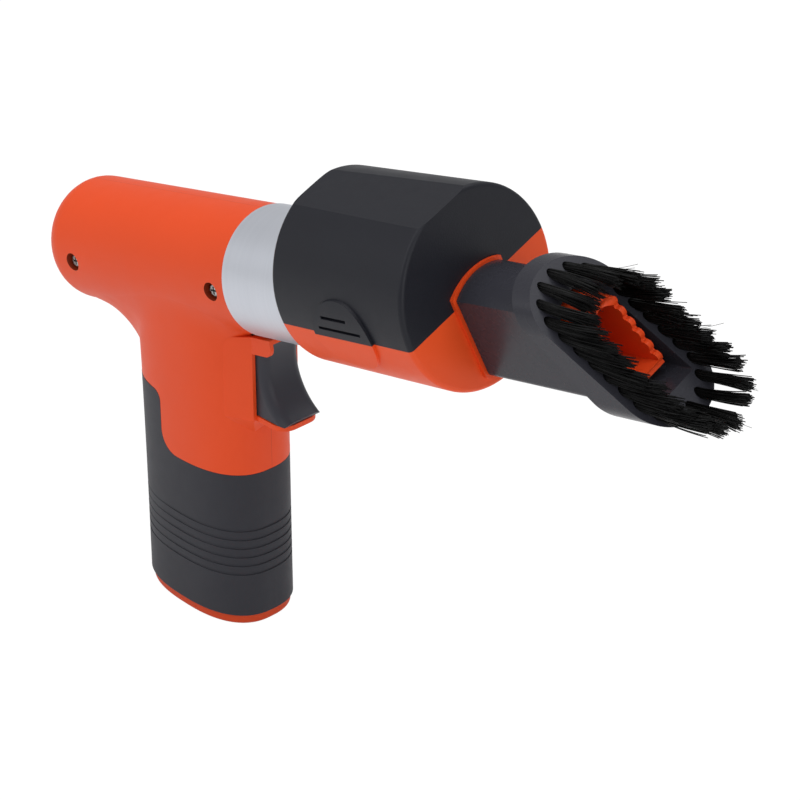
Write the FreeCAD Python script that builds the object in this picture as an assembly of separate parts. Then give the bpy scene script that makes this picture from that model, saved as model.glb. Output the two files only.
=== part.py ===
import FreeCAD, Part
import math
import os
from FreeCAD import Placement, Rotation, Vector

os.makedirs("parts", exist_ok=True)

# Cordless handheld vacuum with a pistol grip. Millimetres, +Z up, +X towards the nozzle.
# The origin is the centre of the flat base under the grip, on which it stands.

# ---- Grip: an oval section that stands upright on the base ----
GRIP_DEPTH = 63.8            # front to back
GRIP_WIDTH = 41.4
OVAL_POWER = 2.5             # 2 is an ellipse, larger is squarer
GRIP_TOP = 67.7              # top edge of the rubber sleeve at the front
SLEEVE_BACK_TOP = 92.0       # the sleeve rises to here at the back of the grip
SLEEVE_STEP_X = -8.0         # where the sleeve's edge steps up
SLEEVE = 1.6                 # thickness of the rubber
GROOVES = 6
GROOVE_PITCH = 3.9
GROOVE_LOW = 23.2
GROOVE_DEEP = 0.35
GROOVE_WIDE = 1.2

# ---- Barrel: a tube that leans back over the grip ----
TILT = 11.9                  # degrees, front up
RING_X = 35.6                # rear edge of the aluminium collar, on the barrel's axis
RING_Z = 151.5
BARREL_R = 23.7
BARREL_LENGTH = 110.5
BARREL_END_ROUND = 11.0
NECK_ROUND = 25.0            # hollow curve behind the grip, under the barrel
SIDE_ROUND = 30.0            # gentler curve from the grip's sides into the barrel
FRONT_ROUND = 5.0

# ---- Collar and dust cup, on the barrel's axis ----
RING_R = 24.0
RING_LENGTH = 44.0
CUP_GAP = 0.5
CUP_LENGTH = 64.4
CUP_R_REAR = 33.8
CUP_R_FRONT = 34.4
CUP_OFFSET = 10.3            # cup axis above the barrel axis, along the cup's own up
CUP_TWIST = 18.7             # degrees, the cup turned open on its bayonet
CUP_FLAT = 32.3              # flat on top of the cup, from the cup's axis
CUP_EDGE = 1.6

# ---- Nozzle and brush ----
DUCT_WIDTH = 22.6
DUCT_LOW = -28.2             # from the cup's axis
DUCT_HIGH = 3.6              # corners of the duct's top
DUCT_CROWN = 3.4             # rise of the arched top
BRUSH_X = 165.9              # middle of the brush face, along the barrel
BRUSH_V = -10.5
BRUSH_TILT = 43.5            # degrees from upright, facing up and forward
BRUSH_BACK_TILT = 36.0
BRUSH_BACK_X = 153.6
BRUSH_WIDTH = 34.2
BRUSH_LENGTH = 67.2
TUFTS = 24
TUFT_R = 1.6
TUFT_TIP_R = 2.1
TUFT_LENGTH = 19.5
TUFT_ROOT = 3.0
TUFT_FAN = 6.0               # degrees, outwards from the oval's middle
TUFT_DROOP = 0.12            # the upper tufts lean down over the mouth
MOUTH_X = 166.0
MOUTH_TILT = 28.0
MOUTH_WIDTH = 14.0
MOUTH_LOW = -23.0
MOUTH_HIGH = 2.0
NOZZLE_WALL = 1.5
LIP_WALL = 2.2               # thicker wall at the toothed mouth
TEETH = 6
TOOTH_PITCH = 4.5
TOOTH_R = 1.9

# ---- Trigger ----
TRIGGER_WIDTH = 18.4
TRIGGER_LOW = 95.5
TRIGGER_BACK = 35.0
TRIGGER_TIP = 50.6
TRIGGER_ROUND = 4.0           # roundness of its front
LEDGE_FRONT = 49.6
LEDGE = 2.0

# ---- Walls and clearances ----
WALL = 2.0
FREE = 0.3                   # between pieces that move past each other
RUN = 0.08                   # radial running clearance
SEAT = 0.1                   # between pieces of one body
LOCK_TURN = 18.0             # bayonet turn, degrees

# ---- Standard parts ----
CELL_R = 9.15
CELL_LENGTH = 65.0
CELL_PITCH = 2 * CELL_R + 0.4
MOTOR_R = 18.0
MOTOR_LENGTH = 56.0
SHAFT_R = 1.58
SCREW_R = 1.4
SCREW_HEAD_R = 2.5
SCREW_HEAD = 1.8
RECESS_R = 3.5
RECESS_DEEP = 3.4
SCREW_REAR_X = -90.6
SCREW_FRONT_X = -7.8
SCREW_Z = -1.5

# ---- Base, neck and trigger nose ----
CAP_TOP = 4.7                # height of the base cap
CORE = SLEEVE + WALL         # depth from the grip's outside to the hollow
NOSE_HALF = TRIGGER_WIDTH / 2 + FREE + 1.5
TAB_FRONT = 4.5              # along the barrel
TAB_LOW = -29.3
CHIN = 11.0                  # height of the slope under the ledge
SWITCH_LOW = 97.5
SWITCH_HIGH = 115.5
SPRING_Z = 105.5
SPRING_WIRE_R = 0.2           # thin enough not to bind at full pull
SPRING_TURNS = 4
SPRING_R = 3.2
BASE_SCREW_X = 25.0

# ---- Inside the barrel and the grip ----
SPIGOT_R = RING_R - 1.6 - SEAT
SPIGOT_LENGTH = 38.0
MOTOR_FRONT = -14.2
SOCKET_R = 4.0
SOCKET_Z = -7.0
CELL_LOW = 18.5

# ---- Bayonet and filter ----
SOCKET_BORE = 18.6
NECK_R = SOCKET_BORE - RUN
LUG_R = 20.2
LUG_X = (39.9, 41.9)
LUG_ARC = 14.0
SEAL_R = 19.6
BACK_R = 20.5                # opening of the cup's back plate

# ---- Rim, nozzle root and flap ----
RIM = 1.2
RIM_PROUD = 1.3
BORE_INSET = 1.8             # wall of the brush's sleeve
ROOT_INSET = BORE_INSET + FREE + 0.05
DUCT_BACK = 101.0
FLAP_X = 98.2
FLAP_Z = 8.6
FLAP_PIN_R = 1.0

TOP = 400.0                  # larger than the whole object, for cutting tools
BARREL = Placement(Vector(RING_X, 0, RING_Z), Rotation(Vector(0, 1, 0), -TILT))
ROLL = Placement(Vector(0, 0, 0), Rotation(Vector(1, 0, 0), CUP_TWIST))
BARREL_ROLLED = BARREL.multiply(ROLL)
CUP = BARREL_ROLLED.multiply(Placement(Vector(0, 0, CUP_OFFSET), Rotation()))
CUP_REAR = RING_LENGTH + CUP_GAP
CUP_FRONT = CUP_REAR + CUP_LENGTH - CUP_GAP
X_AXIS = Vector(1, 0, 0)
Y_AXIS = Vector(0, 1, 0)
Z_AXIS = Vector(0, 0, 1)


# ---------------------------------------------------------------- shared shapes
def put(shape, placement):
    """A copy of a shape carried into the object's frame."""
    moved = shape.copy()
    moved.Placement = placement.multiply(moved.Placement)
    return moved


def rod(radius, start, end, y=0.0, z=0.0):
    """A round bar along X."""
    return Part.makeCylinder(radius, end - start, Vector(start, y, z), X_AXIS)


def tube(outer, inner, start, end, y=0.0, z=0.0):
    """A round tube along X."""
    return rod(outer, start, end, y, z).cut(rod(inner, start - 1, end + 1, y, z))


def cross_rod(radius, x, z, start, end):
    """A round bar along Y."""
    return Part.makeCylinder(radius, end - start, Vector(x, start, z), Y_AXIS)


def block(x, y, z):
    """A box from three (low, high) pairs."""
    size = [high - low for low, high in (x, y, z)]
    return Part.makeBox(size[0], size[1], size[2], Vector(x[0], y[0], z[0]))


def join(shapes):
    """One solid from several that overlap."""
    shapes = list(shapes)
    return shapes[0].fuse(shapes[1:]).removeSplitter() if len(shapes) > 1 else shapes[0]


def cut(shape, tools):
    """A shape less several tools."""
    tools = list(tools)
    return shape.cut(tools) if tools else shape


def edges_at(shape, axis, value, reach=1e-3):
    """Edges that lie in one plane across an axis."""
    low = {"x": "XMin", "y": "YMin", "z": "ZMin"}[axis]
    high = {"x": "XMax", "y": "YMax", "z": "ZMax"}[axis]
    return [edge for edge in shape.Edges
            if abs(getattr(edge.BoundBox, low) - value) < reach
            and abs(getattr(edge.BoundBox, high) - value) < reach]


def path(points, rounds=None):
    """A closed outline in XZ, with the listed corners rounded: {index: radius}."""
    rounds = rounds or {}
    count = len(points)
    corners = [Vector(p[0], 0, p[1]) for p in points]
    edges = []
    previous_end = None
    first_start = None
    for i, corner in enumerate(corners):
        radius = rounds.get(i, 0)
        start = end = corner
        if radius:
            before = (corners[i - 1] - corner).normalize()
            after = (corners[(i + 1) % count] - corner).normalize()
            half = before.getAngle(after) / 2
            start = corner + before * (radius / math.tan(half))
            end = corner + after * (radius / math.tan(half))
            middle = (before + after).normalize()
            centre = corner + middle * (radius / math.sin(half))
        if previous_end is not None:
            edges.append(Part.LineSegment(previous_end, start).toShape())
        else:
            first_start = start
        if radius:
            edges.append(Part.Arc(start, centre - middle * radius, end).toShape())
        previous_end = end
    edges.append(Part.LineSegment(previous_end, first_start).toShape())
    return Part.Wire(edges)


def plate_xz(points, half_width, rounds=None):
    """A flat plate across Y, from an outline in XZ."""
    face = Part.Face(path(points, rounds))
    face.translate(Vector(0, -half_width, 0))
    return face.extrude(Vector(0, 2 * half_width, 0))


def oval(rear, front, half_width, z, count=40):
    """A squared ellipse across Z, with its own reach to the rear and to the front."""
    points = []
    for i in range(count):
        turn = 2 * math.pi * i / count
        along = math.copysign(abs(math.cos(turn)) ** (2 / OVAL_POWER), math.cos(turn))
        across = math.copysign(abs(math.sin(turn)) ** (2 / OVAL_POWER), math.sin(turn))
        reach = front if along > 0 else -rear
        points.append(Vector(reach * along, half_width * across, z))
    curve = Part.BSplineCurve()
    curve.interpolate(Points=points, PeriodicFlag=True)
    return Part.Wire(curve.toShape())


def grip(offset, low, high):
    """The grip's oval, drawn in by an offset, between two heights."""
    depth = GRIP_DEPTH / 2 - offset
    wire = oval(-depth, depth, GRIP_WIDTH / 2 - offset, low)
    return Part.Face(wire).extrude(Vector(0, 0, high - low))


def neck_hollow(low):
    """The inside of the neck: the grip's oval carried straight up into the barrel."""
    return grip(CORE, low, RING_Z - 16)


def flow_point(x, y, reach):
    """Where a rolling round leaves the grip's wall at one point, and how far it turns.

    The round is tangent to the upright wall and to the underside of the barrel.
    """
    depth = GRIP_DEPTH / 2
    half = GRIP_WIDTH / 2
    normal = Vector(math.copysign(abs(x / depth) ** (OVAL_POWER - 1) / depth, x),
                    math.copysign(abs(y / half) ** (OVAL_POWER - 1) / half, y), 0).normalize()
    ends = FRONT_ROUND if x > 0 else NECK_ROUND
    radius = ends * normal.x ** 2 + SIDE_ROUND * normal.y ** 2
    lean = math.radians(TILT)
    best = None
    for i in range(reach + 1):
        out = radius * i / reach
        across = abs(y + normal.y * out)
        if across > BARREL_R - 0.6:
            break
        below = -math.sqrt(BARREL_R ** 2 - across ** 2)
        along = x + normal.x * out - RING_X
        under = RING_Z + (below + along * math.sin(lean)) / math.cos(lean)
        start = under - math.sqrt(radius ** 2 - (out - radius) ** 2)
        if best is None or start < best[0]:
            best = (start, out)
    turn = math.acos(1 - best[1] / radius)
    return normal, radius, best[0], turn


def neck(low):
    """The grip's oval flowing up into the barrel through rounds of varying size."""
    count = 40
    shares = (0.0, 0.2, 0.4, 0.6, 0.8, 1.0)
    rows = [[] for _ in shares]
    for i in range(count):
        corner = 2 * math.pi * i / count
        c, s = math.cos(corner), math.sin(corner)
        x = GRIP_DEPTH / 2 * math.copysign(abs(c) ** (2 / OVAL_POWER), c)
        y = GRIP_WIDTH / 2 * math.copysign(abs(s) ** (2 / OVAL_POWER), s)
        normal, radius, start, turn = flow_point(x, y, 60)
        for row, share in zip(rows, shares):
            out = radius * (1 - math.cos(turn * share)) - 0.06 * share
            row.append(Vector(x + normal.x * out, y + normal.y * out, start + radius * math.sin(turn * share)))
    wires = [oval(-GRIP_DEPTH / 2, GRIP_DEPTH / 2, GRIP_WIDTH / 2, low)]
    for row in rows:
        curve = Part.BSplineCurve()
        curve.interpolate(Points=row, PeriodicFlag=True)
        wires.append(Part.Wire(curve.toShape()))
    top = oval(-GRIP_DEPTH / 2 + 8, GRIP_DEPTH / 2 - 8, GRIP_WIDTH / 2 - 8, RING_Z - 8)
    skins = [Part.makeLoft(wires[:2], False, True), Part.makeLoft(wires[1:], False, False),
             Part.makeLoft([wires[-1], top], False, True)]
    faces = [face for skin in skins for face in skin.Faces] + [Part.Face(wires[0]), Part.Face(top)]
    shell = Part.makeShell(faces)
    shell.sewShape()
    return Part.Solid(shell)


def barrel(offset):
    """The round barrel with its rounded rear end."""
    body = rod(BARREL_R - offset, -BARREL_LENGTH + offset, -0.1)
    rear = edges_at(body, "x", -BARREL_LENGTH + offset)
    return put(body.makeFillet(BARREL_END_ROUND - offset, rear), BARREL)


def sleeve_zone(grow=0.0):
    """The block of space below the sleeve's stepped top edge."""
    step = SLEEVE_STEP_X + grow
    points = [(-60, -1), (60, -1), (60, GRIP_TOP + grow), (step, GRIP_TOP + grow),
              (step, SLEEVE_BACK_TOP + grow), (-60, SLEEVE_BACK_TOP + grow)]
    return plate_xz(points, 60, {3: 9 - grow, 4: 4 + grow})


# ---------------------------------------------------------------- housing
def nose_plan(front, half, z):
    """Level outline of the nose: its sides leave the grip's oval at a tangent."""
    corners = [(10, -12), (18, -18.3), (front, -half), (front, half), (18, 18.3), (10, 12)]
    return Part.Face(Part.makePolygon([Vector(x, y, z) for x, y in corners + corners[:1]]))


def nose():
    """The square front of the neck that holds the trigger, with its tab and ledge."""
    under = TRIGGER_LOW - FREE - LEDGE
    upright = nose_plan(TRIGGER_BACK, NOSE_HALF, under).extrude(Vector(0, 0, 134 - under))
    chin = Part.makeLoft([nose_plan(TRIGGER_BACK, NOSE_HALF, under).OuterWire,
                          nose_plan(GRIP_DEPTH / 2 - 3, 5.0, under - CHIN).OuterWire], True, True)
    ledge = block((16, LEDGE_FRONT), (-TRIGGER_WIDTH / 2 - 0.4, TRIGGER_WIDTH / 2 + 0.4),
                  (TRIGGER_LOW - FREE - LEDGE, TRIGGER_LOW - FREE))
    front = [e for e in ledge.Edges
             if e.BoundBox.ZLength > 1 and abs(e.BoundBox.XMin - LEDGE_FRONT) < 1e-3]
    ledge = ledge.makeFillet(6.0, front)
    tab = plate_xz([(-40, -15), (-40, TAB_LOW), (TAB_FRONT, TAB_LOW), (TAB_FRONT, -15)],
                   NOSE_HALF, {2: 3.5})
    tab = put(tab, BARREL)
    upright_cap = put(block((-60, 60), (-30, 30), (-BARREL_R + 1, 60)), BARREL)
    collar = put(rod(RING_R + SEAT, 0, 60), BARREL)
    return join([upright.cut(upright_cap), chin, ledge, tab.cut([upright_cap, collar])])


def nose_hollow():
    """The pocket that the trigger slides in, open to the front and below the collar."""
    half = TRIGGER_WIDTH / 2 + FREE
    roof = put(block((-60, 60), (-30, 30), (-RING_R - 0.4, 60)), BARREL)
    pocket = block((20, 70), (-half, half), (TRIGGER_LOW - FREE, 142)).cut(roof)
    inner = block((14, 34), (-half, half), (TRIGGER_LOW - FREE, 129))
    return pocket, inner


def housing_solid():
    """Outside of both shells together."""
    core = grip(SLEEVE, CAP_TOP, SLEEVE_BACK_TOP + 4)
    full = neck(GRIP_TOP - 8).cut(sleeve_zone(0.15))
    spigot = put(rod(SPIGOT_R, -2, SPIGOT_LENGTH), BARREL)
    return join([core, full, barrel(0), nose(), spigot])


def housing_hollow():
    """Inside of both shells together."""
    cavity = grip(CORE, CAP_TOP - 1, SLEEVE_BACK_TOP)
    upper = neck_hollow(GRIP_TOP - 8)
    bore = barrel(WALL + 0.2)
    front = put(rod(SPIGOT_R - WALL, -30, SPIGOT_LENGTH + 1), BARREL)
    pocket, inner = nose_hollow()
    return [cavity, upper, bore, front, pocket, inner]


def motor_ribs():
    """Two ring ribs that grip the motor can."""
    rings = [tube(BARREL_R - 0.5, MOTOR_R + SEAT, x, x + 2) for x in (-66.0, -34.0)]
    return [put(ring, BARREL) for ring in rings]


def switch_ribs(side):
    """Shelves above and below the trigger switch."""
    y = (0.0, 15.0) if side > 0 else (-15.0, 0.0)
    return [block((0, 14), y, (z, z + 1.6)) for z in (SWITCH_LOW - 1.7, SWITCH_HIGH + 0.1)]


def half_space(side):
    """Everything on one side of the split plane."""
    low = 0.0 if side > 0 else -TOP
    return block((-TOP, TOP), (low, low + TOP), (-TOP, TOP))


def screw_seat(x, side, deep_end, bore):
    """Boss and hole for a housing screw, in the barrel's frame: (solid, holes)."""
    near = BARREL_R - RECESS_DEEP
    ends = sorted((side * deep_end, side * (BARREL_R - 1.5)))
    boss = cross_rod(RECESS_R + 1.2, x, SCREW_Z, ends[0], ends[1])
    recess = sorted((side * near, side * (BARREL_R + 2)))
    hole = sorted((side * (deep_end - 1), side * (BARREL_R + 1)))
    holes = [cross_rod(bore, x, SCREW_Z, hole[0], hole[1]),
             cross_rod(RECESS_R, x, SCREW_Z, recess[0], recess[1])]
    return boss, holes


def housing(side):
    """One clamshell of the orange housing: +1 is the left shell, -1 the right."""
    shell = cut(HOUSING_OUT, HOUSING_IN).common(half_space(side))
    added = [rib.common(half_space(side)) for rib in motor_ribs()] + switch_ribs(side)
    front_boss, front_holes = screw_seat(SCREW_FRONT_X, side, BARREL_R - RECESS_DEEP - 0.9, SCREW_R + SEAT)
    added.append(put(front_boss, BARREL))
    holes = [put(hole, BARREL) for hole in front_holes]
    ends = (0.0, BARREL_R - 1.5) if side > 0 else (-BARREL_R + 1.5, 0.0)
    added.append(put(cross_rod(RECESS_R + 1.2, SCREW_REAR_X, SCREW_Z, ends[0], ends[1]), BARREL))
    if side < 0:
        recess_y = (-BARREL_R - 2, -BARREL_R + RECESS_DEEP)
        holes.append(put(cross_rod(RECESS_R, SCREW_REAR_X, SCREW_Z, recess_y[0], recess_y[1]), BARREL))
        holes.append(put(cross_rod(SCREW_R + SEAT, SCREW_REAR_X, SCREW_Z, -BARREL_R, 1), BARREL))
    else:
        holes.append(put(cross_rod(SCREW_R + SEAT, SCREW_REAR_X, SCREW_Z, -1, 14), BARREL))
        for i in range(5):
            slot = block((-58 + 7 * i, -55.6 + 7 * i), (0, 40), (-8, 8))
            holes.append(put(slot, BARREL))
    holes.append(put(rod(SOCKET_R + SEAT, -BARREL_LENGTH - 2, -BARREL_LENGTH + 8, 0, SOCKET_Z), BARREL))
    added = [piece.cut(HOUSING_KEEP) for piece in added]
    shell = join([shell] + [piece for piece in added if piece.Volume > 1])
    for x in (-BASE_SCREW_X, BASE_SCREW_X):
        post = Part.makeCylinder(3.0, 8.4, Vector(x, 0, CAP_TOP + 2.8)).common(half_space(side))
        shell = shell.fuse(post.common(grip(SLEEVE + 0.5, 0, 20)))
        shell = shell.cut(Part.makeCylinder(SCREW_R + SEAT, 8.0, Vector(x, 0, CAP_TOP + 2)))
    shell = cut(shell, holes).removeSplitter()
    return max(shell.Solids, key=lambda s: s.Volume)


# ---------------------------------------------------------------- fixed pieces
def collar_ring():
    """Turned aluminium collar between the housing and the dust cup."""
    ring = tube(RING_R, RING_R - 1.6, 0.05, RING_LENGTH)
    rim = [e for e in edges_at(ring, "x", RING_LENGTH) if e.Curve.Radius > RING_R - 0.5]
    return put(ring.makeChamfer(0.4, rim), BARREL)


def handle_sleeve():
    """Rubber sleeve moulded over the grip, with six shallow grooves."""
    inside = grip(SLEEVE - SEAT / 2, -1, SLEEVE_BACK_TOP + 5)
    body = neck(CAP_TOP + 0.1).common(sleeve_zone()).cut(inside)
    for i in range(GROOVES):
        z = GROOVE_LOW + GROOVE_PITCH * i
        ring = grip(-1.0, z, z + GROOVE_WIDE).cut(grip(GROOVE_DEEP, z - 1, z + GROOVE_WIDE + 1))
        body = body.cut(ring)
    return max(body.Solids, key=lambda s: s.Volume)


def base_cap():
    """Orange cap that closes the grip and is its flat foot."""
    plate = grip(1.0, 0, CAP_TOP)
    plate = plate.makeFillet(1.6, edges_at(plate, "z", 0))
    skirt = grip(CORE + SEAT, CAP_TOP - 0.5, CAP_TOP + 3.0)
    skirt = skirt.cut(grip(CORE + SEAT + 1.5, CAP_TOP - 1, CAP_TOP + 4))
    cap = join([plate, skirt])
    for x in (-BASE_SCREW_X, BASE_SCREW_X):
        pad = Part.makeCylinder(3.2, 3.0, Vector(x, 0, CAP_TOP - 0.3))
        cap = cap.fuse(pad.common(grip(CORE + SEAT, 0, 20)))
        cap = cap.cut(Part.makeCylinder(SCREW_R + SEAT, 20, Vector(x, 0, -1)))
        cap = cap.cut(Part.makeCylinder(SCREW_HEAD_R + 0.3, 3.2, Vector(x, 0, -1)))
    return cap.removeSplitter()


def pan_screw(length):
    """Pan head screw with a cross recess, head down at Z 0, shank upwards."""
    head = Part.makeCylinder(SCREW_HEAD_R, SCREW_HEAD)
    head = head.makeFillet(0.7, edges_at(head, "z", 0))
    shank = Part.makeCylinder(SCREW_R, length, Vector(0, 0, SCREW_HEAD - 0.1))
    slots = [block((-1.5, 1.5), (-0.35, 0.35), (-0.1, 1.0)), block((-0.35, 0.35), (-1.5, 1.5), (-0.1, 1.0))]
    return cut(join([head, shank]), slots)


def housing_screws():
    """Side screws of the barrel and the two screws of the base cap."""
    seat = BARREL_R - RECESS_DEEP + SCREW_HEAD
    screws = []
    for x, side, length in ((SCREW_REAR_X, -1, 31.0), (SCREW_FRONT_X, -1, 8.0), (SCREW_FRONT_X, 1, 8.0)):
        turn = Rotation(X_AXIS, -90 if side < 0 else 90)
        spot = Placement(Vector(x, side * seat, SCREW_Z), turn)
        screws.append(put(pan_screw(length), BARREL.multiply(spot)))
    for x in (-BASE_SCREW_X, BASE_SCREW_X):
        screws.append(put(pan_screw(9.6), Placement(Vector(x, 0, 0.4), Rotation())))
    return Part.Compound(screws)


def motor_can():
    """Direct-current motor, held by two ribs and the mount plate."""
    end = MOTOR_FRONT
    can = rod(MOTOR_R, end - MOTOR_LENGTH, end)
    can = can.makeFillet(1.5, edges_at(can, "x", end - MOTOR_LENGTH) + edges_at(can, "x", end))
    boss = rod(6.4, end - 1, end + 2.4)
    cap = rod(6.0, end - MOTOR_LENGTH - 3, end - MOTOR_LENGTH + 1)
    bore = rod(SHAFT_R + RUN, end - 30, end + 5)
    tags = [block((end - MOTOR_LENGTH - 5, end - MOTOR_LENGTH + 1), (y - 1.6, y + 1.6), (8.6, 9.1))
            for y in (-8.0, 8.0)]
    return put(join([can, boss, cap] + tags).cut(bore), BARREL)


def motor_mount():
    """Plate in front of the motor, with the bosses that the front screws enter."""
    plate = rod(SPIGOT_R - WALL - SEAT, MOTOR_FRONT + 0.1, MOTOR_FRONT + 3.1)
    shell_bosses = cross_rod(RECESS_R + 1.2 + SEAT, SCREW_FRONT_X, SCREW_Z, -40, 40)
    plate = plate.cut(shell_bosses.cut(rod(BARREL_R - RECESS_DEEP - 1.0, -30, 30)))
    bosses = []
    for side in (-1, 1):
        reach = BARREL_R - RECESS_DEEP - 1.0
        ends = sorted((side * 9.0, side * reach))
        bosses.append(cross_rod(3.6, SCREW_FRONT_X, SCREW_Z, ends[0], ends[1]))
        bosses.append(block((MOTOR_FRONT + 2, SCREW_FRONT_X), tuple(ends), (SCREW_Z - 2.4, SCREW_Z + 2.4)))
    shape = join([plate] + bosses)
    holes = [rod(6.5, MOTOR_FRONT - 1, MOTOR_FRONT + 5)]
    holes += [cross_rod(SCREW_R + SEAT, SCREW_FRONT_X, SCREW_Z, -22, -10),
              cross_rod(SCREW_R + SEAT, SCREW_FRONT_X, SCREW_Z, 10, 22)]
    for turn in (50, 90, 130, 230, 270, 310):
        angle = math.radians(turn)
        holes.append(rod(4.2, MOTOR_FRONT - 1, MOTOR_FRONT + 5, 13.5 * math.cos(angle), 13.5 * math.sin(angle)))
    return put(cut(shape, holes), BARREL)


def fan_shroud():
    """Cup round the impeller, with its inlet eye to the front."""
    outer = SPIGOT_R - WALL - SEAT
    wall = tube(outer, outer - 1.2, 4.0, 27.0)
    face = tube(outer, 9.0, 25.4, 27.0)
    lip = tube(10.0, 9.0, 23.9, 26.0)
    return put(join([wall, face, lip]), BARREL)


def rotor_shaft():
    """Motor shaft, which carries the impeller."""
    return put(rod(SHAFT_R, MOTOR_FRONT - 24, 22.0), BARREL)


def impeller():
    """Backward-curved centrifugal fan pressed on the motor shaft."""
    hub = rod(4.2, 8.0, 20.5)
    disc = rod(17.6, 8.0, 9.4)
    blades = []
    for i in range(9):
        blade = blade_solid()
        blade.rotate(Vector(0, 0, 0), X_AXIS, 40 * i)
        blades.append(blade)
    shape = join([hub, disc] + blades)
    return put(shape.cut(rod(SHAFT_R, 0, 30)), BARREL)


def blade_solid():
    """One curved blade: two arcs in YZ, drawn out along X."""
    inner = [Vector(9.0, 3.6, 0), Vector(9.0, 11.0, 3.0), Vector(9.0, 16.4, 6.2)]
    outer = [Vector(9.0, 16.0, 7.2), Vector(9.0, 10.4, 4.0), Vector(9.0, 3.6, 1.2)]
    edges = [Part.Arc(*inner).toShape(), Part.LineSegment(inner[2], outer[0]).toShape(),
             Part.Arc(*outer).toShape(), Part.LineSegment(outer[2], inner[0]).toShape()]
    return Part.Face(Part.Wire(edges)).extrude(Vector(11.0, 0, 0))


def battery_cells():
    """Three lithium cells side by side, with their raised positive ends."""
    cells = []
    for i in (-1, 0, 1):
        x = i * CELL_PITCH
        can = Part.makeCylinder(CELL_R, CELL_LENGTH, Vector(x, 0, CELL_LOW))
        can = can.makeFillet(0.8, edges_at(can, "z", CELL_LOW) + edges_at(can, "z", CELL_LOW + CELL_LENGTH))
        cells.append(can)
    return Part.Compound(cells)


def battery_frame():
    """Upper and lower holders that seat the cell ends."""
    frames = []
    for low in (CELL_LOW - 2.4, CELL_LOW + CELL_LENGTH - 5.6):
        frame = grip(CORE + 0.15, low, low + 8.0)
        for i in (-1, 0, 1):
            x = i * CELL_PITCH
            bottom = CELL_LOW - 0.05 if low < CELL_LOW else CELL_LOW + CELL_LENGTH - 8.0
            frame = frame.cut(Part.makeCylinder(CELL_R + 0.05, 8.05, Vector(x, 0, bottom)))
        frames.append(max(frame.Solids, key=lambda s: s.Volume))
    return Part.Compound(frames)


def control_board():
    """Charger and motor board on the upper cell holder, with its larger parts."""
    low = CELL_LOW + CELL_LENGTH + 2.4
    board = block((-22, 8), (-12, 12), (low, low + 1.6))
    parts = [block((-18, -8), (-6, 4), (low + 1.5, low + 5.5)), block((-4, 2), (-9, -3), (low + 1.5, low + 4.0)),
             Part.makeCylinder(3.0, 6.5, Vector(3, 6, low + 1.5))]
    return join([board] + parts)


def charge_socket():
    """Round charging socket in the rear end of the barrel."""
    body = rod(SOCKET_R, -BARREL_LENGTH + 0.2, -BARREL_LENGTH + 9.0, 0, SOCKET_Z)
    flange = rod(SOCKET_R + 1.4, -BARREL_LENGTH + WALL + 0.3, -BARREL_LENGTH + WALL + 2.0, 0, SOCKET_Z)
    bore = rod(2.75, -BARREL_LENGTH - 1, -BARREL_LENGTH + 8.0, 0, SOCKET_Z)
    pin = rod(1.0, -BARREL_LENGTH + 1.5, -BARREL_LENGTH + 8.5, 0, SOCKET_Z)
    return put(join([join([body, flange]).cut(bore), pin]), BARREL)


def trigger_switch():
    """Snap switch behind the trigger, with its plunger stud."""
    case = block((0.5, 13.5), (-7.0, 7.0), (SWITCH_LOW, SWITCH_HIGH))
    stud = rod(1.8, 13.0, 19.5, 0, SPRING_Z)
    return join([case, stud])


def trigger_spring():
    """Return spring round the switch's stud."""
    low = 13.9
    high = 20.1
    points = []
    for i in range(SPRING_TURNS * 12 + 1):
        turn = 2 * math.pi * i / 12
        rise = (high - low) * i / (SPRING_TURNS * 12)
        points.append(Vector(SPRING_R * math.cos(turn), SPRING_R * math.sin(turn), rise))
    curve = Part.BSplineCurve()
    curve.interpolate(points)
    lead = curve.tangent(curve.FirstParameter)[0]
    profile = Part.Wire(Part.makeCircle(SPRING_WIRE_R, points[0], lead))
    coil = Part.Wire(curve.toShape()).makePipeShell([profile], True, True)
    return put(coil, Placement(Vector(low, 0, SPRING_Z), Rotation(Y_AXIS, 90)))


def trigger():
    """Trigger with a hollowed front, and the stem that slides in the neck."""
    slope = math.tan(math.radians(TILT))
    roof_gap = 1.5
    under = lambda x: RING_Z + (x - RING_X) * slope - (RING_R + roof_gap) / math.cos(math.radians(TILT))
    top_front = 41.0
    start = TRIGGER_BACK - 12.0
    foot = Vector(TRIGGER_TIP - 1.2, 0, TRIGGER_LOW)
    tip = Vector(TRIGGER_TIP, 0, TRIGGER_LOW + 1.6)
    crest = Vector(top_front, 0, under(top_front))
    back_low = Vector(start, 0, TRIGGER_LOW)
    back_high = Vector(start, 0, under(start))
    edges = [Part.LineSegment(back_low, foot).toShape(),
             Part.LineSegment(foot, tip).toShape(),
             Part.Arc(tip, Vector(42.2, 0, TRIGGER_LOW + 9.6), crest).toShape(),
             Part.LineSegment(crest, back_high).toShape(),
             Part.LineSegment(back_high, back_low).toShape()]
    face = Part.Face(Part.Wire(edges))
    face.translate(Vector(0, -TRIGGER_WIDTH / 2, 0))
    body = face.extrude(Vector(0, TRIGGER_WIDTH, 0))
    front = [e for e in body.Edges
             if e.Length > 15 and e.Curve.TypeId == "Part::GeomCircle" and e.BoundBox.YLength < 0.01]
    body = body.makeFillet(TRIGGER_ROUND, front)
    hollow = block((start - 1, TRIGGER_BACK - 1), (-TRIGGER_WIDTH / 2 + 1.8, TRIGGER_WIDTH / 2 - 1.8),
                   (TRIGGER_LOW + 1.8, TRIGGER_LOW + 20.0))
    body = body.cut(hollow)
    stem = rod(4.6, 20.6, TRIGGER_BACK, 0, SPRING_Z).cut(rod(2.1, 19, TRIGGER_BACK - 2, 0, SPRING_Z))
    return join([body, stem])


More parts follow.
